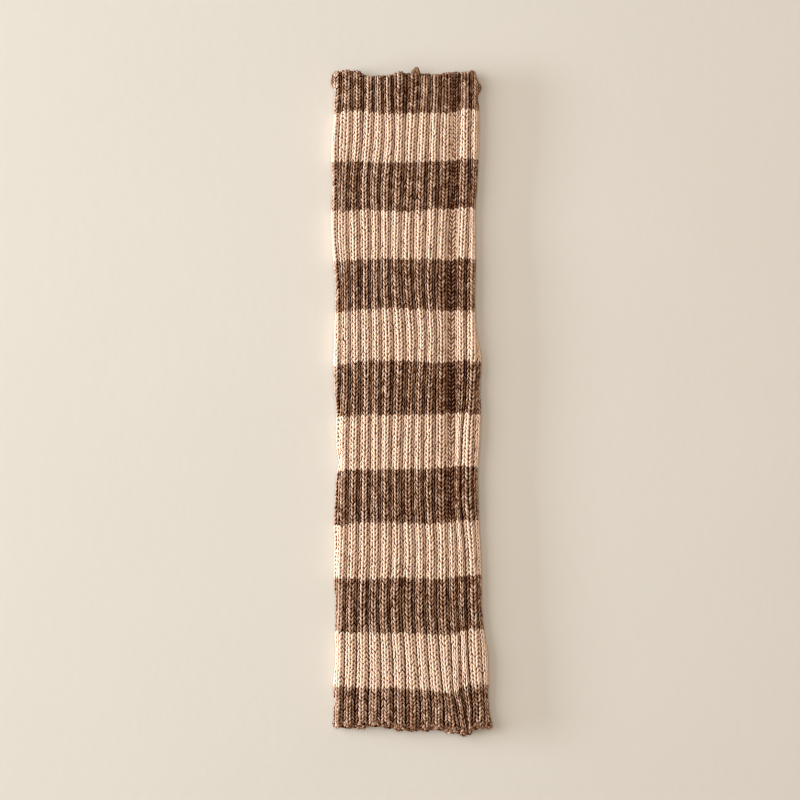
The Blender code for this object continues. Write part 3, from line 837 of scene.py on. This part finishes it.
# Shader maths as Python: an expression on these values adds its Math nodes.
class Value:
    def __init__(self, shader, socket):
        self.shader, self.socket = shader, socket

    def maths(self, operation, *others):
        return self.shader.add("ShaderNodeMath", {"operation": operation}, [self, *others])

    def __add__(self, other):
        return self.maths("ADD", other)

    def __mul__(self, other):
        return self.maths("MULTIPLY", other)

    def __sub__(self, other):
        return self.maths("SUBTRACT", other)

    def __rsub__(self, other):
        return self.shader.add("ShaderNodeMath", {"operation": "SUBTRACT"}, [other, self])

    __radd__ = __add__
    __rmul__ = __mul__


class Shader:
    def __init__(self, name):
        self.material = bpy.data.materials.new(name)
        self.material.use_nodes = True
        self.tree = self.material.node_tree
        self.surface = self.tree.nodes["Principled BSDF"]
        self.place = self.add("ShaderNodeTexCoord", output=3)

    # Adds a node: first its settings, then its sockets, by name or in order.
    def add(self, kind, settings=None, sockets=(), output=0):
        node = self.tree.nodes.new(kind)
        for name, value in (settings or {}).items():
            if name == "stops":
                ramp = node.color_ramp.elements
                for i, (position, colour) in enumerate(value):
                    stop = ramp[i] if i < 2 else ramp.new(position)
                    stop.position, stop.color = position, (*colour, 1.0)
            else:
                setattr(node, name, value)
        pairs = sockets.items() if isinstance(sockets, dict) else enumerate(sockets)
        for key, value in pairs:
            self.connect(node.inputs[key], value)
        return Value(self, node.outputs[output])

    def connect(self, socket, value):
        if isinstance(value, Value):
            self.tree.links.new(value.socket, socket)
        elif hasattr(value, "__len__") and len(value) == 3 and socket.type == "RGBA":
            socket.default_value = (*value, 1.0)
        else:
            socket.default_value = value

    def mixColours(self, share, first, second, blend="MIX"):
        settings = {"data_type": "RGBA", "blend_type": blend}
        return self.add("ShaderNodeMix", settings, {0: share, 6: first, 7: second}, output=2)

    def ramp(self, places, colours, share):
        return self.add("ShaderNodeValToRGB", {"stops": list(zip(places, colours))}, [share])

    def noise(self, scale, detail, roughness):
        sockets = {"Vector": self.place, "Scale": scale, "Detail": detail, "Roughness": roughness}
        return self.add("ShaderNodeTexNoise", None, sockets)

    # The first two parts of a vector, each as a value.
    def parts(self, vector):
        outputs = self.add("ShaderNodeSeparateXYZ", None, [vector]).socket.node.outputs
        return Value(self, outputs[0]), Value(self, outputs[1])

    def set(self, name, value):
        self.connect(self.surface.inputs[name], value)

    # A bump as the surface's normal. Distance is in metres.
    def setBump(self, strength, distance, height):
        sockets = {"Strength": strength, "Distance": distance, "Height": height}
        self.set("Normal", self.add("ShaderNodeBump", None, sockets))


# Sum of some values, each by its weight, and of the last weight by itself.
def weighed(weights, *values):
    *weights, total = weights
    for weight, value in zip(weights, values):
        total = value * weight + total
    return total


yarns = {
    "brown": {
        "deep": (0.050, 0.009, 0.001),
        "body": (0.290, 0.156, 0.094),
        "light": (0.605, 0.441, 0.352),
        "sheen": (0.90, 0.72, 0.60),
        "paintedShadeStrength": 0.70,  # how much darker the painted shade makes the yarn, where little light reaches it
        "heather": 0.12,  # how much its shade changes from stitch to stitch
        "behind": (0.25, 0.14),  # shares of deep, and of halfway to body, that the ground's painted shadow has
    },
    "beige": {
        "deep": (0.300, 0.103, 0.034),
        "body": (0.812, 0.626, 0.500),
        "light": (0.775, 0.574, 0.460),
        "sheen": (1.00, 0.93, 0.84),
        "paintedShadeStrength": 0.48,
        "heather": 0.09,
        "behind": (0.55, 0.40),
    },
}

yarnLook = {
    "plies": 2,
    "twist": 3.4,  # mm of yarn for one turn of its plies
    "flanks": 0.54,  # painted shade on the sides of a yarn, where it touches the next
    "mostPaintedShade": 1.5,
    # Scale, detail and roughness of its noises.
    "fibres": (1900.0, 3.0, 0.6),
    "clouds": (210.0, 2.0, 0.5),
    "tints": (520.0, 1.0, 0.5),
    "shade": (0.7, 0.5, 0.10, 0.10),  # weights of fibres, clouds and plies, and what is added; the plies' weight paints shade in the grooves between them
    "stops": (0.06, 0.45, 0.85),  # shades that are deep, body and light
    "warmFibres": (1.05, 1.00, 0.86),  # the two tints that the heather strays between
    "coolFibres": (1.00, 0.97, 1.06),
    "warmth": (2.4, -0.7),  # weight of the tints' noise, and what is added
    "roughness": (0.2, 0.76),  # the same of the fibres
    "relief": (0.5, 0.5, 0.0),  # the same of plies and fibres
    "bump": (0.6, 0.00022),  # strength, and distance in metres
    "sheenWeight": 0.10,
    "sheenRoughness": 0.45,
    "specular": 0.04,
}


# The yarn of the stitches, with its two plies, its fibres, its heather and its painted shade.
def makeYarn(name, colours):
    shader = Shader(f"{name}_yarn")
    around, along = shader.parts(shader.add("ShaderNodeUVMap", {"uv_map": "yarn"}))
    turns = around * yarnLook["plies"] + along * (yarnLook["plies"] / yarnLook["twist"])
    ply = (turns * (2.0 * math.pi)).maths("SINE") * 0.5 + 0.5
    tone = shader.add("ShaderNodeAttribute", {"attribute_name": "tone"}, output=2)
    hollow = shader.add("ShaderNodeAttribute", {"attribute_name": "hollow"}, output=2)
    fibres, clouds, tints = [shader.noise(*yarnLook[kind]) for kind in ("fibres", "clouds", "tints")]
    heather = weighed(yarnLook["shade"], fibres, clouds, ply) + tone * colours["heather"]
    # Painted shade: points marked as losing light are coloured darker, towards the deep colour.
    heather = heather - hollow * colours["paintedShadeStrength"]
    colour = shader.ramp(yarnLook["stops"], [colours[key] for key in ("deep", "body", "light")], heather)
    warmth = weighed(yarnLook["warmth"], tints)
    tint = shader.mixColours(warmth, yarnLook["coolFibres"], yarnLook["warmFibres"])
    shader.set("Base Color", shader.mixColours(1.0, colour, tint, blend="MULTIPLY"))
    shader.set("Roughness", weighed(yarnLook["roughness"], fibres))
    shader.setBump(*yarnLook["bump"], weighed(yarnLook["relief"], ply, fibres))
    shader.set("Sheen Weight", yarnLook["sheenWeight"])
    shader.set("Sheen Roughness", yarnLook["sheenRoughness"])
    shader.set("Sheen Tint", colours["sheen"])
    shader.set("Specular IOR Level", yarnLook["specular"])
    return shader.material


groundLook = {
    "loopWidth": 0.0034,  # metres
    "loopHeight": 0.0025,
    "fibres": (1500.0, 3.0, 0.6),
    "shade": (0.8, 0.12, 0.08),  # weights of fibres and loops, and what is added
    "stops": (0.2, 0.85),
    "roughness": (0.1, 0.85),
    "relief": (0.6, 0.5, 0.0),
    "bump": (0.8, 0.0003),
    "specular": 0.04,
}


# The cloth behind the stitches, coloured dark as painted shadow in the gaps between them, with rows of loops
# as a fine bump and a slight pattern in that colour.
def makeGroundShadow(name, colours):
    shader = Shader(f"{name}_ground")
    x, y = shader.parts(shader.place)
    columns = (x * (2.0 * math.pi / groundLook["loopWidth"])).maths("SINE")
    loops = columns * (y * (2.0 * math.pi / groundLook["loopHeight"])).maths("SINE")
    fibres = shader.noise(*groundLook["fibres"])
    darkShare, middleShare = colours["behind"]
    # Painted shadow: the ground's colours are darkened shares of the yarn's own.
    paintedShadow = [channel * darkShare for channel in colours["deep"]]
    middle = [0.5 * (a + b) * middleShare for a, b in zip(colours["deep"], colours["body"])]
    shade = weighed(groundLook["shade"], fibres, loops)
    shader.set("Base Color", shader.ramp(groundLook["stops"], (paintedShadow, middle), shade))
    shader.set("Roughness", weighed(groundLook["roughness"], fibres))
    shader.setBump(*groundLook["bump"], weighed(groundLook["relief"], fibres, loops))
    shader.set("Specular IOR Level", groundLook["specular"])
    return shader.material


# Each column has its own wander and shade, drawn once for the whole tube.
form = TubeForm()
columnCount = form.ribs * 4
columnShade = uneven(stitch["columnShade"], columnCount)
allRows = np.arange(form.rowsAbove[-1] + 2 * stitch["overEdge"])
gridColumns, gridRows = np.meshgrid(np.arange(columnCount), allRows, indexing="ij")
wander = columnWander(gridColumns, gridRows, stitch["columnWave"])
shade = uneven(stitch["legShade"], gridColumns.shape) + columnShade[:, None]
gridWales, gridRows = np.meshgrid(np.arange(columnCount // 2), allRows, indexing="ij")
ragged = columnWander(gridWales, gridRows, stitch["ragged"])
ragged = ragged + uneven(stitch["ragged"] / 2.0, columnCount // 2)[:, None]
yarnMaterials = {name: makeYarn(name, colours) for name, colours in yarns.items()}
groundShadowMaterials = {name: makeGroundShadow(name, colours) for name, colours in yarns.items()}
print("yarns ready:", ", ".join(yarnMaterials))

frontRibs = np.arange(form.frontRibs)
backRibs = np.arange(form.frontRibs, form.ribs)
for stripe, (yarn, rows, length, *sides) in enumerate(tube["stripes"]):
    node = f"stripe_{stripe + 1:02d}_{yarn}"
    cloth = makeGround(form, stripe, f"cloth_{stripe + 1:02d}_{yarn}", groundShadowMaterials[yarn])
    sweeps = [
        knitLegs(form, stripe, frontRibs, hidden=False),
        knitLegs(form, stripe, backRibs, hidden=True),
        purlBars(form, stripe, np.arange(form.ribs)),
    ]
    if stripe == len(tube["stripes"]) - 1:
        sweeps += edgeKnobs(form)
    stitches = makeTubes(f"stitches_{stripe + 1:02d}_{yarn}", sweeps, yarnMaterials[yarn])
    for piece in (cloth, stitches):
        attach(piece, "root")
    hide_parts(node)
    girth = float(np.mean(form.sideAt(form.girth, np.array(form.borders[stripe] - length / 2.0)))) * mm
    print(node, "knitted:", sum(s["count"] for s in sweeps), "pieces of yarn")


# The loose loop of yarn that stands out of the upper edge.
loop = {
    "yarn": 2.8,
    "strand": 1.65,  # each of its two plies
    "twist": 4.0,
    # painted shade along the whole loop, which darkens it evenly
    "hollow": 0.42,
    "tone": 0.4,
    "feet": ((0.5, 206.0), (4.8, 205.6)),
    "top": (3.1, 211.3),
    "z": 6.2,
    "pointed": 1.35,  # 1 is a sharp tip and 2 a round one
    "points": 34,
    "sides": 7,
}


def makeLoop():
    (leftX, leftY), (rightX, rightY) = loop["feet"]
    topX, topY = loop["top"][0], loop["top"][1] - loop["yarn"] / 2.0
    share = np.linspace(-1.0, 1.0, loop["points"])
    away = np.abs(share)
    x = topX + np.where(share < 0.0, leftX - topX, rightX - topX) * away
    y = topY + np.where(share < 0.0, leftY - topY, rightY - topY) * away ** loop["pointed"]
    route = np.stack([x, y, np.full_like(x, loop["z"])], axis=1)
    way = np.concatenate([[0.0], np.cumsum(np.linalg.norm(np.diff(route, axis=0), axis=1))])
    ahead = unit(np.gradient(route, axis=0))
    up = np.tile((0.0, 0.0, 1.0), (len(route), 1))
    side = unit(np.cross(ahead, up))
    apart = (loop["yarn"] - loop["strand"]) / 2.0
    sweeps = []
    for ply in range(2):
        turn = 2.0 * math.pi * way[:, None] / loop["twist"] + math.pi * ply
        strand = route + apart * (np.cos(turn) * up + np.sin(turn) * side)
        thickness = np.full(len(route), loop["strand"])
        tone, lost = np.array([loop["tone"]]), np.full((1, len(route)), loop["hollow"])
        sweeps.append(sweepTubes(strand[None], thickness[None], up[None], loop["sides"], tone, lost))
    return makeTubes("edge_loop_plies", sweeps, yarnMaterials["brown"])


loopPiece = makeLoop()
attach(loopPiece, "root")
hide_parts("edge_yarn_loop")
print("loose loop made")


floorLook = {
    "size": 6.0,  # metres
    "height": -0.0004,  # just under the tube
    "pale": (0.678, 0.632, 0.582),
    "shaded": (0.648, 0.602, 0.552),
    "clouds": (7.0, 4.0, 0.5),  # scale, detail and roughness of its noises
    "grain": (160.0, 5.0, 0.5),
    "bump": (0.15, 0.0006),
    "roughness": 0.9,
    "specular": 0.1,
}


def makeFloor():
    half = floorLook["size"] / 2.0
    mesh = bpy.data.meshes.new("floor")
    corners = [(x * half, y * half, floorLook["height"]) for x, y in ((-1, -1), (1, -1), (1, 1), (-1, 1))]
    mesh.from_pydata(corners, [], [(0, 1, 2, 3)])
    floor = addObject("floor", mesh)
    shader = Shader("pale_plaster")
    clouds, grain = shader.noise(*floorLook["clouds"]), shader.noise(*floorLook["grain"])
    shader.set("Base Color", shader.mixColours(clouds, floorLook["shaded"], floorLook["pale"]))
    shader.set("Roughness", floorLook["roughness"])
    shader.setBump(*floorLook["bump"], grain + clouds)
    shader.set("Specular IOR Level", floorLook["specular"])
    mesh.materials.append(shader.material)


lights = {
    "sky": {"colour": (1.0, 0.81, 0.60), "strength": 0.26},
    "lamps": [
        # name, place in metres, width and height, watts, colour
        ("low_window", (-4.0, 0.0, 0.60), (2.2, 0.46), 247.0, (0.82, 0.94, 1.0)),
        ("left_softbox", (-1.90, 0.45, 1.45), (1.9, 1.8), 41.0, (0.94, 0.98, 1.0)),
        ("top_softbox", (0.00, 0.12, 2.00), (1.0, 1.0), 17.3, (1.0, 0.93, 0.81)),
    ],
}


def makeLights():
    world = bpy.data.worlds.new("studio")
    world.use_nodes = True
    sky = world.node_tree.nodes["Background"]
    sky.inputs["Color"].default_value = (*lights["sky"]["colour"], 1.0)
    sky.inputs["Strength"].default_value = lights["sky"]["strength"]
    bpy.context.scene.world = world
    for name, place, (width, height), watts, colour in lights["lamps"]:
        lamp = bpy.data.lights.new(name, "AREA")
        lamp.shape, lamp.size, lamp.size_y = "RECTANGLE", width, height
        lamp.energy, lamp.color = watts, colour
        holder = addObject(name, lamp)
        holder.location = place
        away = math.atan2(place[1], place[0])
        tilt = math.atan2(math.hypot(place[0], place[1]), place[2])
        holder.rotation_euler = (tilt, 0.0, away + math.pi / 2.0)
        holder.visible_camera = False


camera = {
    "lens": 105.0,
    "sensor": 36.0,
    "aim": (-0.00725, 0.0008),  # metres
    "width": 0.504,  # across the picture
    "widthAt": 0.0085,  # height that this width is measured at, which is the rib crests'
    "farthest": 20.0,
}


def makeCamera():
    data = bpy.data.cameras.new("camera")
    data.lens, data.sensor_width = camera["lens"], camera["sensor"]
    data.clip_end = camera["farthest"]
    holder = addObject("camera", data)
    away = camera["width"] * camera["lens"] / camera["sensor"]
    holder.location = (*camera["aim"], away + camera["widthAt"])
    bpy.context.scene.camera = holder


makeFloor()
makeLights()
makeCamera()
bpy.context.scene.view_settings.view_transform = "Standard"
bpy.context.scene.cycles.filter_width = 1.0  # as crisp as the picture
print("floor, light and camera set")
